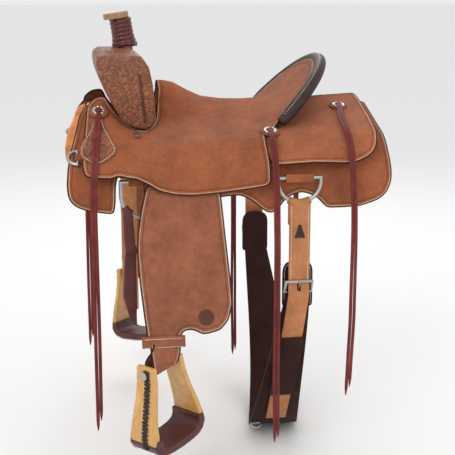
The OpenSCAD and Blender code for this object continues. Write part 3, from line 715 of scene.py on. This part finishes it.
def bevelled(node, name, mat, width):
    """A CAD solid's copy with soft edges, for straps and folds."""
    obj = copy_of(node, name, mat)
    bm = bmesh.new()
    bm.from_mesh(obj.data)
    bmesh.ops.remove_doubles(bm, verts=bm.verts, dist=1e-5)
    bmesh.ops.dissolve_limit(bm, angle_limit=math.radians(1.5), verts=bm.verts, edges=bm.edges)
    bm.to_mesh(obj.data)
    bm.free()
    mod = obj.modifiers.new("soft_edges", "BEVEL")
    mod.width, mod.segments = width * MM, 3
    mod.limit_method, mod.angle_limit = "ANGLE", math.radians(30)
    mod.use_clamp_overlap = True
    apply_all(obj)
    obj.data.shade_smooth()
    obj.data.set_sharp_from_angle(angle=math.radians(40))
    return obj


def softened(node, name, mat, voxel, passes):
    """A CAD solid's copy, remeshed and smoothed until its edges are round."""
    obj = copy_of(node, name, mat)
    remesh = obj.modifiers.new("voxels", "REMESH")
    remesh.mode, remesh.voxel_size = "VOXEL", voxel * MM
    smooth = obj.modifiers.new("smooth", "SMOOTH")
    smooth.factor, smooth.iterations = 0.5, passes
    apply_all(obj)
    obj.data.materials.clear()
    obj.data.materials.append(mat)
    obj.data.shade_smooth()
    return obj


def smooth_path(points, per):
    """A Catmull-Rom curve through the points."""
    p = np.array(points, float)
    p = np.concatenate([[2 * p[0] - p[1]], p, [2 * p[-1] - p[-2]]])
    out = []
    for k in range(1, len(p) - 2):
        a, b, c, d = p[k - 1:k + 3]
        for f in np.arange(per) / per:
            out.append(0.5 * (2 * b + (c - a) * f + (2 * a - 5 * b + 4 * c - d) * f ** 2
                              + (3 * b - a - 3 * c + d) * f ** 3))
    out.append(p[-2])
    return np.array(out)


def sweep(name, path, shape, mat, side_hint, closed=False, taper=None):
    """Sweeps a closed 2D shape of (side, up) along a path; taper scales it at each point."""
    n, m = len(path), len(shape)
    verts = []
    for k in range(n):
        before = path[k - 1] if k or closed else path[k]
        after = path[(k + 1) % n] if k < n - 1 or closed else path[k]
        t = after - before
        t = t / np.linalg.norm(t)
        hint = side_hint(k) if callable(side_hint) else np.array(side_hint, float)
        side = hint - t * (hint @ t)
        side /= np.linalg.norm(side)
        up = np.cross(side, t)
        size = taper[k] if taper is not None else 1.0
        verts += [path[k] + (side * a + up * b) * size for a, b in shape]
    faces = []
    for k in range(n if closed else n - 1):
        for j in range(m):
            a, b = k * m + j, k * m + (j + 1) % m
            c, d = ((k + 1) % n) * m + (j + 1) % m, ((k + 1) % n) * m + j
            faces.append((a, b, c, d))
    if not closed:
        faces.append(tuple(range(m - 1, -1, -1)))
        faces.append(tuple((n - 1) * m + j for j in range(m)))
    obj = make_object(name, verts, faces, mat)
    turn_outwards(obj)
    return obj


def oval(a, b, n=16):
    return [(a * math.cos(2 * math.pi * k / n), b * math.sin(2 * math.pi * k / n)) for k in range(n)]


def strap_shape(width, thick, soft):
    """A flat strap's section with rounded corners."""
    w, h, s = width / 2, thick / 2, soft
    return [(-w + s, -h), (w - s, -h), (w, -h + s), (w, h - s), (w - s, h), (-w + s, h),
            (-w, h - s), (-w, -h + s)]


def on_plane(at, slope):
    """Places near side points whose Z is the normal of a surface with that slope."""
    turn = np.array(Matrix.Rotation(slope, 3, "X"))
    return lambda p: np.asarray(p) @ turn.T + np.array(at)


def relief(name, place, radius, height, mat, rings=22, spokes=96, base=0.0):
    """A round piece whose top follows height(r, angle); place moves it onto the saddle."""
    verts = [(0, 0, height(0.0, 0.0))]
    for r in radius * np.linspace(0, 1, rings + 1)[1:]:
        for k in range(spokes):
            a = 2 * math.pi * k / spokes
            verts.append((r * math.cos(a), r * math.sin(a), height(r / radius, a)))
    faces = [(0, 1 + k, 1 + (k + 1) % spokes) for k in range(spokes)]
    for i in range(rings - 1):
        for k in range(spokes):
            a, b = 1 + i * spokes + k, 1 + i * spokes + (k + 1) % spokes
            faces.append((a, a + spokes, b + spokes, b))
    low = len(verts)
    last = 1 + (rings - 1) * spokes
    for k in range(spokes):
        x, y, _ = verts[last + k]
        verts.append((x, y, base))
    for k in range(spokes):
        a, b = last + k, last + (k + 1) % spokes
        faces.append((a, low + k, low + (k + 1) % spokes, b))
    faces.append(tuple(low + k for k in range(spokes - 1, -1, -1)))
    return make_object(name, place(np.array(verts)), faces, mat)


# -------------------- cords: the saddle strings
def saddle_string(side, key):
    """Two flat thongs side by side, tied through a concho."""
    route = [np.array((x, -y if side == "near" else y, z), float) for x, y, z in ROUTES[key]]
    path = smooth_path(route, 5)
    run = np.concatenate([[0], np.cumsum(np.linalg.norm(np.diff(path, axis=0), axis=1))])
    sign = 1 if side == "near" else -1
    parts = []
    for k, (offset, phase, cut) in enumerate(((-3.9, 0.3, 0), (3.9, 2.1, 2))):
        wave = 0.9 * np.sin(run / 47 + phase)[:, None] * np.array([0.2, sign * 0.6, 0])
        shift = (offset * (1 + 0.12 * np.sin(run / 83 + phase)))[:, None] * np.array([1.0, 0, 0])
        line = path + shift * (run / (run + 12))[:, None] + wave * (run / (run + 60))[:, None]
        line = line[:len(line) - cut]
        taper = np.minimum(1, 0.25 + (run[len(line) - 1] - run[:len(line)]) / 22)
        parts.append(sweep(f"{side}_{key}_thong_{k}", line, strap_shape(7.4, 2.6, 0.8),
                           MATS["string_leather"], (1, 0.25 * math.sin(phase), 0), taper=taper))
    bpy.ops.object.select_all(action="DESELECT")
    for part in parts:
        part.select_set(True)
    bpy.context.view_layer.objects.active = parts[0]
    bpy.ops.object.join()
    obj = bpy.context.view_layer.objects.active
    obj.name = obj.data.name = f"{side}_{key}_thongs"
    register(obj, "saddle", "string_leather", f"{side}_{key}_string")
    line = [tuple(p * MM) for p in path]


# -------------------- pieces
def clear_of_spine(edge, front, middle, rear):
    """A near side outline that stops short of the centre line, by a distance for each third."""
    return [(x, -max(t, front if x < -250 else middle if x < 185 else rear)) for x, t in edge]


def skirts():
    low = clear_of_spine(across_from_side(SKIRT, SKIRT_EDGE), 78, 50, 1.5)
    sewn_pair("skirt", low, section_surface(SKIRT), 5, "saddle", "roughout", 8,
              lambda u, v: v < -170, "skirt")
    low = clear_of_spine(across_from_side(FLEECE, SKIRT_EDGE), 80, 52, 2)
    under = section_surface(FLEECE)
    obj, _ = panel("near_wool", cut_at(low, -322, 1), under, 9.4, MATS["fleece"], 5, (), 0.8)
    pair(obj, "saddle", "fleece", "fleece")
    obj, _ = panel("near_front_lip", cut_at(low, -324, -1), under, 8.6, LIP, 6, ())
    pair(obj, "saddle", "fleece")


def seat_outline():
    near = across_from_plan([(-165, 0), (-165, 30)]) + across_from_side(SEAT, FORK_NOTCH)
    near += across_from_side(SEAT, JOCKEY_EDGE)
    near += across_from_plan([(60, 197), (76, 186), (90, 176)])
    along, across = 117, 168.5      # half widths of the oval under the cantle
    rim = [(CANTLE_AT[0] + along * math.cos(a), across * math.sin(a))
           for a in np.radians([78, 64, 50, 36, 24, 12])]
    near += across_from_plan(rim + [(CANTLE_AT[0] + along, 0)])
    return [(x, -t) for x, t in near] + [(x, t) for x, t in near[-2:0:-1]]


def seat():
    surface = section_surface(SEAT, 22, seat_rise)
    obj, ring = panel("seat_leather", seat_outline(), surface, 5, MATS["roughout"], 7)
    register(obj, "saddle", "roughout", "seat")
    row = edge_stitches("seat_stitching", ring, surface, 5, lambda u, v: abs(v) > 125 or u < -150)
    register(row, "saddle", "roughout")


def rear_jockeys():
    edge = [(x, -max(t, 1.5)) for x, t in across_from_side(REAR_JOCKEY, REAR_EDGE)]
    sewn_pair("rear_jockey", edge, section_surface(REAR_JOCKEY), 5, "saddle", "rear_roughout", 8,
              lambda u, v: v < -8 and u > 60, "rear_jockey")


def keepers():
    edge = [(x, -t) for x, t in across_from_side(KEEPER, KEEPER_EDGE)]
    sewn_pair("keeper", edge, section_surface(KEEPER), 3.4, "saddle", "tooled_leather", 5,
              lambda u, v: True, "keeper", (4.0,))


def fender_surface(x, t):
    """The fender's splayed plane: x along the saddle, t minus the distance down it."""
    down = -t
    return np.stack([x, PIVOT[1] - down * math.sin(SPLAY) + 0 * x,
                     PIVOT[2] - down * math.cos(SPLAY) + 0 * x], axis=-1)


def fenders():
    edge = [(x, -s) for x, s in FENDER_EDGE]
    sewn_pair("fender", edge, fender_surface, 4.5, "leg", "fender_leather", 8,
              lambda u, v: v < -70, "fender")
    centre = fender_surface(np.array([-99.0]), np.array([-338.0]))[0]
    out = np.array([0, -math.cos(SPLAY), math.sin(SPLAY)])
    place = on_plane(centre + out * 2.0, math.pi / 2 - SPLAY)

    def stamp(r, a):
        petal = 0.5 + 0.5 * math.cos(8 * a)
        rings = 0.35 * math.cos(r * 26) if r > 0.72 else 0
        return 0.55 + 0.45 * petal * math.sin(math.pi * min(r / 0.7, 1)) + rings - 0.5 * (r > 0.98)
    pair(relief("near_fender_rosette", place, 17, stamp, STAMP, 26, 96, -0.5),
         "leg", "fender_leather")


def fork():
    obj = softened("fork_cover", "fork_leather", MATS["tooled_leather"], 2.6, 10)
    register(obj, "saddle", "tooled_leather", "fork_cover")


def horn():
    turn = np.array(Matrix.Rotation(HORN_LEAN, 3, "Y"))

    def at_horn(x, y, z):
        return np.array([x, y, z]) @ turn.T + HORN_AT
    turns, per_turn, pitch, radius = 6.7, 28, 9.2, 20.8
    path, centre = [], []
    for k in range(int(turns * per_turn)):
        a = 2 * math.pi * k / per_turn
        r = radius + 4.5 * max(0, 1 - k / 84) ** 1.5
        z = 4 + pitch * k / per_turn
        path.append(at_horn(r * math.cos(a), r * math.sin(a), z))
        centre.append(at_horn(0, 0, z))
    coil = sweep("horn_coils", np.array(path), oval(3.9, 6.3, 16), MATS["wrap_leather"],
                 lambda k: path[k] - centre[k])
    register(coil, "saddle", "wrap_leather", "horn_wrap")
    low = [at_horn(23.5 * math.cos(a), 23.5 * math.sin(a), 6 + 2 * math.sin(3 * a))
           for a in np.linspace(0, 2 * math.pi, 48, endpoint=False)]
    ring = sweep("horn_base_wrap", np.array(low), oval(4.4, 5.2, 12), MATS["wrap_leather"],
                 lambda k: low[k] - HORN_AT, closed=True)
    register(ring, "saddle", "wrap_leather")


def cantle():
    lean = np.array([math.cos(CANTLE_SLOPE), 0, math.sin(CANTLE_SLOPE)])
    face = np.array([-math.sin(CANTLE_SLOPE), 0, math.cos(CANTLE_SLOPE)])

    def arc(radius, height, angles):
        return np.array([CANTLE_AT + lean * radius * math.sin(a)
                         - np.array([0, radius, 0]) * math.cos(a) + face * height for a in angles])
    degrees = np.linspace(1, 179, 90)
    path = arc(CANTLE_R - 2, -4, np.radians(degrees))
    taper = np.minimum(1, 0.78 + 0.22 * np.minimum(degrees, 180 - degrees) / 12)
    roll = sweep("cantle_roll", path, oval(13.6, 15.5, 28), MATS["binding_leather"], face,
                 taper=taper)
    register(roll, "saddle", "binding_leather", "cantle_binding")
    rows = []
    for inner, height in ((165.6, 6.3), (186.6, 6.0)):
        pts = arc(inner, height, np.radians(np.linspace(6, 174, 120)))
        rows.append((pts, np.tile(face, (len(pts), 1))))
    register(stitches("cantle_stitching", rows, 6.4, 3.0, 0.85), "saddle", "binding_leather")
    back = softened("cantle_board", "cantle_back", ROUGHOUT_PLAIN, 3.0, 4)
    register(back, "saddle", "rear_roughout", "cantle_board")


CONCHOS = [((-303, -139, 33), FRONT_SLOPE, 2.6), ((60, -206, -8.8), math.radians(20), 2.0),
           ((244, -78, 29.6), REAR_SLOPE, 1.4)]


def conchos():
    def scallop(r, a):
        wave = 0.5 + 0.5 * math.cos(14 * a)
        return 2.3 - 0.9 * (r > 0.78) * wave + 0.5 * math.sin(math.pi * r) - 1.2 * (r > 0.97)

    def dome(r, a):
        beads = (0.5 + 0.5 * math.cos(8 * a)) * 1.5 * max(0, 1 - abs(r - 0.74) / 0.2)
        rim = 0.7 * max(0, 1 - abs(r - 0.95) / 0.06)
        return 1.5 + beads + rim + 0.9 * (r < 0.5)

    def knot(r, a):
        fold = 0.6 * math.cos(2 * a + 5 * r)
        return (4.2 + fold) * math.sqrt(max(0, 1 - (0.97 * r) ** 2))

    def raised(place, height):
        return lambda p: place(np.asarray(p) + [0, 0, height])
    roses, domes = [], []
    for k, (at, slope, height) in enumerate(CONCHOS):
        base, top, tie = (raised(on_plane(at, slope), height + up) for up in (0, 2.6, 4.6))
        rose = relief(f"near_rosette_{k}", base, 20.5, scallop, ROSETTE, 24, 112)
        pair(relief(f"near_knot_{k}", tie, 7.6, knot, MATS["string_leather"], 16, 60),
             "saddle", "string_leather")
        disc = relief(f"near_concho_{k}", top, 13.8, dome, MATS["silver"], 30, 120)
        roses += pair(rose, "saddle", "tooled_leather")
        domes += pair(disc, "saddle", "silver")
    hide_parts("rosettes")
    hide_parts("conchos")


def stirrup_point(u, v, z):
    """A point of the near stirrup's own frame, in the saddle's."""
    along = u * math.cos(ROLL) - z * math.sin(ROLL)
    up = u * math.sin(ROLL) + z * math.cos(ROLL)
    return BOLT + np.array([along * math.cos(YAW) - v * math.sin(YAW),
                            along * math.sin(YAW) + v * math.cos(YAW), up])


def wrapped(points, out):
    """Half of the bow's outline moved out, and its mirror image after it."""
    half = [(u + out, z) for u, z in points[:2]]
    half += [(u + out * 0.6, z - out * 0.8) for u, z in points[2:4]] + [(0, points[4][1] - out)]
    return half + [(-u, z) for u, z in half[-2::-1]]


def stirrups():
    for side in ("near", "off"):
        body = softened(f"{side}_stirrup", f"{side}_stirrup_bow", MATS["stirrup_wood"], 1.9, 14)
        register(body, f"{side}_foot", "stirrup_wood", f"{side}_stirrup")
    outer = [(70, -132), (73.5, -150), (66, -164), (49, -174), (0, -177)]
    inner = [(60, -133), (60, -146), (54, -156.5), (42, -163), (0, -165)]
    wrap = 3.2
    loop, hollow = wrapped(outer, wrap), wrapped(inner, -wrap)
    half = 39.5
    verts, faces, n = [], [], len(loop)
    for v in (-half, half):
        verts += [stirrup_point(u, v, z) for u, z in loop] + [stirrup_point(u, v, z) for u, z in hollow]
    for k in range(n - 1):
        faces.append((k, k + 1, n + k + 1, n + k))
        faces.append((2 * n + k, 3 * n + k, 3 * n + k + 1, 2 * n + k + 1))
        faces.append((k, 2 * n + k, 2 * n + k + 1, k + 1))
        faces.append((n + k, n + k + 1, 3 * n + k + 1, 3 * n + k))
    for k in (0, n - 1):
        faces.append((k, n + k, 3 * n + k, 2 * n + k))
    obj = make_object("near_tread_wrap", verts, faces, MATS["tread_leather"])
    turn_outwards(obj)
    mod = obj.modifiers.new("round", "BEVEL")
    mod.width, mod.segments = 3 * MM, 3
    mod.limit_method = "ANGLE"
    sub = obj.modifiers.new("smooth", "SUBSURF")
    sub.levels = 1
    apply_all(obj)
    obj.data.shade_smooth()
    pair(obj, "foot", "tread_leather", "tread")
    lace = []
    edge_z, edge_u = (-180, -152, -135, -100, -60, -20, 16), (68, 75, 76, 69, 58, 49, 46)
    for k in range(44):
        z = 10 - 166 * k / 43
        u = -np.interp(z, edge_z, edge_u)
        a, b = (-5.5, 5.5) if k % 2 else (5.5, -5.5)
        lace.append(stirrup_point(u - 1.6, a - 6, z))
        lace.append(stirrup_point(u - 1.6, b - 6, z - 1.9))
    out = stirrup_point(-1, 0, 0) - stirrup_point(0, 0, 0)
    rows = [(np.array(lace), np.tile(out, (len(lace), 1)))]
    pair(stitches("near_stirrup_lacing", rows, 5.0, 8.5, 1.7, DARK_LACE), "foot", "stirrup_wood")
    edge = []
    for v in (-half + 4, half - 4):
        pts = np.array([stirrup_point(u, v, z - 0.6) for u, z in smooth_path(loop, 8)])
        normals = pts - stirrup_point(0, 0, -120)
        edge.append((pts, normals))
    pair(stitches("near_tread_stitching", edge, 5.0, 3.4, 0.7, DARK_LACE), "foot", "tread_leather")


def straps():
    """The straps and folds that are the CAD solids with soft edges."""
    for side in ("near", "off"):
        for node, name, mat, width, body, slot in (
                ("hobble_strap", "hobble", FENDER_PLAIN, 1.1, f"{side}_leg", "fender_leather"),
                ("rigging", "dee_folds", ROUGHOUT_PLAIN, 1.6, "saddle", "roughout")):
            obj = bevelled(f"{side}_{node}", f"{side}_{name}", mat, width)
            register(obj, body, slot, f"{side}_{node}")
    loops = bevelled("breast_dee_loops", "breast_ring_loops", ROUGHOUT_PLAIN, 1.6)
    register(loops, "saddle", "roughout", "breast_dee_loops")
    latigo = softened("latigo", "latigo_strap", MATS["latigo_leather"], 1.3, 3)
    register(latigo, "saddle", "latigo_leather", "latigo")
    for node, name, width, body, slot in (
            ("off_billet", "off_billet_strap", 0.8, "off_cinch_billet", "billet_leather"),
            ("rear_billets", "rear_billet_straps", 0.8, "rear_cinch", "billet_leather"),
            ("flank_cinch", "cinch_strap", 1.8, "rear_cinch", "cinch_leather"),
            ("cinch_keepers", "cinch_keeper_loops", 0.8, "rear_cinch", "cinch_leather"),
            ("ground_seat", "ground_seat_leather", 0.6, "saddle", "strap_leather"),
            ("leather_loops", "leather_loops_over_bars", 1.0, "saddle", "strap_leather")):
        register(bevelled(node, name, MATS[slot], width), body, slot, node)


def fender_point(x, y, down):
    """A point of the near fender's frame, in the saddle's; y grows towards the saddle."""
    return np.array([x, PIVOT[1] + y * math.cos(SPLAY) - down * math.sin(SPLAY),
                     PIVOT[2] - y * math.sin(SPLAY) - down * math.cos(SPLAY)])


def rimmed_strap(name, path, width, thick, mat, hint):
    """A flat strap with dark edges along a path; hint is its side direction."""
    shape, rim = [], []
    for u, d in ((-0.5, 0.0), (-0.46, 2.8), (-0.40, 5.0), (0.0, 8.0), (0.40, 5.0), (0.46, 2.8), (0.5, 0.0)):
        shape.append((u, 0.5 * thick * (0.6 if d == 0 else 1)))
        rim.append(d)
    shape += [(u, -v) for u, v in shape[::-1]]
    rim += rim[::-1]
    obj = sweep(name, path, [(u * width, v) for u, v in shape], mat, hint)
    set_rim(obj, np.tile(rim, len(path)))
    return obj


def stirrup_leathers():
    down = np.linspace(14, 392, 40)
    upper = np.array([fender_point(-187, 4.6, s) for s in down])
    strap = rimmed_strap("near_upper_leather", upper, 63, 4, MATS["fender_leather"], (1, 0, 0))
    pair(strap, "leg", "strap_leather", "stirrup_leather")
    front = [fender_point(-187, -3.2, 372), fender_point(-187, -3.4, 392), fender_point(-187, -4, 402)]
    front += [stirrup_point(0, -11, 9), stirrup_point(0, -10.5, 0)]
    under = [stirrup_point(0, 10.5 * math.sin(a), -10.5 * math.cos(a))
             for a in np.radians([-55, -20, 20, 55])]
    back = [stirrup_point(0, 10.5, 0), stirrup_point(0, 11, 9), fender_point(-187, 9, 402),
            fender_point(-187, 8.9, 388)]
    path = smooth_path(front + under + back, 7)
    bolt_side = stirrup_point(1, 0, 0) - stirrup_point(0, 0, 0)
    turn = [float(np.clip(((BOLT[2] + 44) - p[2]) / 40, 0, 1)) for p in path]
    sides = [np.array([1.0, 0, 0]) * (1 - f) + bolt_side * f for f in turn]
    loop = rimmed_strap("near_turned_leather", path, 64, 4, MATS["fender_leather"],
                        lambda k: sides[k])
    pair(loop, "leg", "strap_leather")
    rows = []
    for edge in (-27.0, 27.0):
        pts, normals = [], []
        for k in range(1, 36):
            t = path[k + 1] - path[k - 1]
            side = sides[k] - t * (sides[k] @ t) / (t @ t)
            side /= np.linalg.norm(side)
            up = np.cross(side, t / np.linalg.norm(t))
            up *= np.sign(up @ np.array([0.3, -1, 0.1]))
            pts.append(path[k] + side * edge + up * 2.1)
            normals.append(up)
        rows.append((np.array(pts), np.array(normals)))
    pair(stitches("near_leather_stitching", rows), "leg", "strap_leather")


def cinch_ends():
    """The rounded leather behind each buckle of the rear cinch."""
    edge = [(80, -388), (80, -305), (84, -292), (94, -284), (114, -281), (134, -284), (144, -292),
            (148, -305), (148, -388)]

    def surface(x, z):
        return np.stack([x, -255.2 + 0 * x, z], axis=-1)
    sewn_pair("cinch_end", edge, surface, 3.4, "rear_cinch", "cinch_leather", 8,
              lambda u, v: v > -384, grooves=GROOVES[:1], tail="")


def near_side_of(name, places, away):
    """Points and normals where lines across the saddle at each (x, z) meet a piece's near side."""
    mesh = bpy.data.objects[name].data
    tree = BVHTree.FromPolygons([v.co for v in mesh.vertices], [p.vertices for p in mesh.polygons])
    hits = [tree.ray_cast(Vector((x * MM, -away, z * MM)), Vector((0, 1, 0))) for x, z in places]
    hits = [hit for hit in hits if hit[0] is not None]
    return np.array([np.array(at) / MM for at, *_ in hits]), np.array([hit[1] for hit in hits])


def fork_seam():
    """The laced seam on each face of the fork, found on its own surface."""
    places = [(-203 - 0.10 * z + dx, z) for z in np.arange(10, 116, 4.2) for dx in (-3.4, 3.4)]
    pts, normals = near_side_of("fork_leather", places, 0.4)
    row = stitches("near_fork_lace", [(pts + normals * 0.4, normals)], 4.6, 5.4, 0.65, STAMP)
    pair(row, "saddle", "tooled_leather")


def hobble_stitching():
    low, high = (np.array(v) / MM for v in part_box("near_hobble_strap"))
    rows = []
    for share in (0.2, 0.8):
        z = low[2] + (high[2] - low[2]) * share
        places = [(x, z) for x in np.linspace(low[0] + 4, high[0] - 4, 26)]
        rows.append(near_side_of("near_hobble", places, 0.6))
    pair(stitches("near_hobble_stitching", rows), "leg", "fender_leather")


def billet_stitching():
    x0, y, rows = 114, -272.4, []
    for x in (x0 - 18.5, x0 + 18.5):
        pts = np.array([(x, y, z) for z in np.linspace(-160, -330, 40)], float)
        rows.append((pts, np.tile((0.0, -1.0, 0.0), (len(pts), 1))))
    pair(stitches("near_billet_stitching", rows), "rear_cinch", "billet_leather")
    for k in range(6):
        half, z = 2.6 + 1.7 * k, -203 - 4.6 * k
        bow = [(x0 - half, y + 0.4, z - 1), (x0, y - 1.6, z + 0.8), (x0 + half, y + 0.4, z - 1)]
        lace = sweep(f"near_billet_lace_{k}", smooth_path(bow, 6), oval(1.4, 2.7, 10), DARK_LACE,
                     (0, -1, 0))
        pair(lace, "rear_cinch", "billet_leather")


def finish_cad_nodes():
    """Every CAD node keeps its shape and takes its own slot's material."""
    slots = {s["node"]: s["material_slot"] for s in frame["record"]["subparts"]}
    for node, obj in frame["nodes"].items():
        mat = MATS[slots[node]]
        for k in range(len(obj.material_slots)):
            obj.material_slots[k].material = mat


place_camera()
for side in ("near", "off"):
    for key in ROUTES:
        saddle_string(side, key)
studio()
finish_cad_nodes()
skirts()
seat()
rear_jockeys()
keepers()
fenders()
fork()
horn()
cantle()
conchos()
stirrups()
straps()
stirrup_leathers()
cinch_ends()
fork_seam()
hobble_stitching()
billet_stitching()
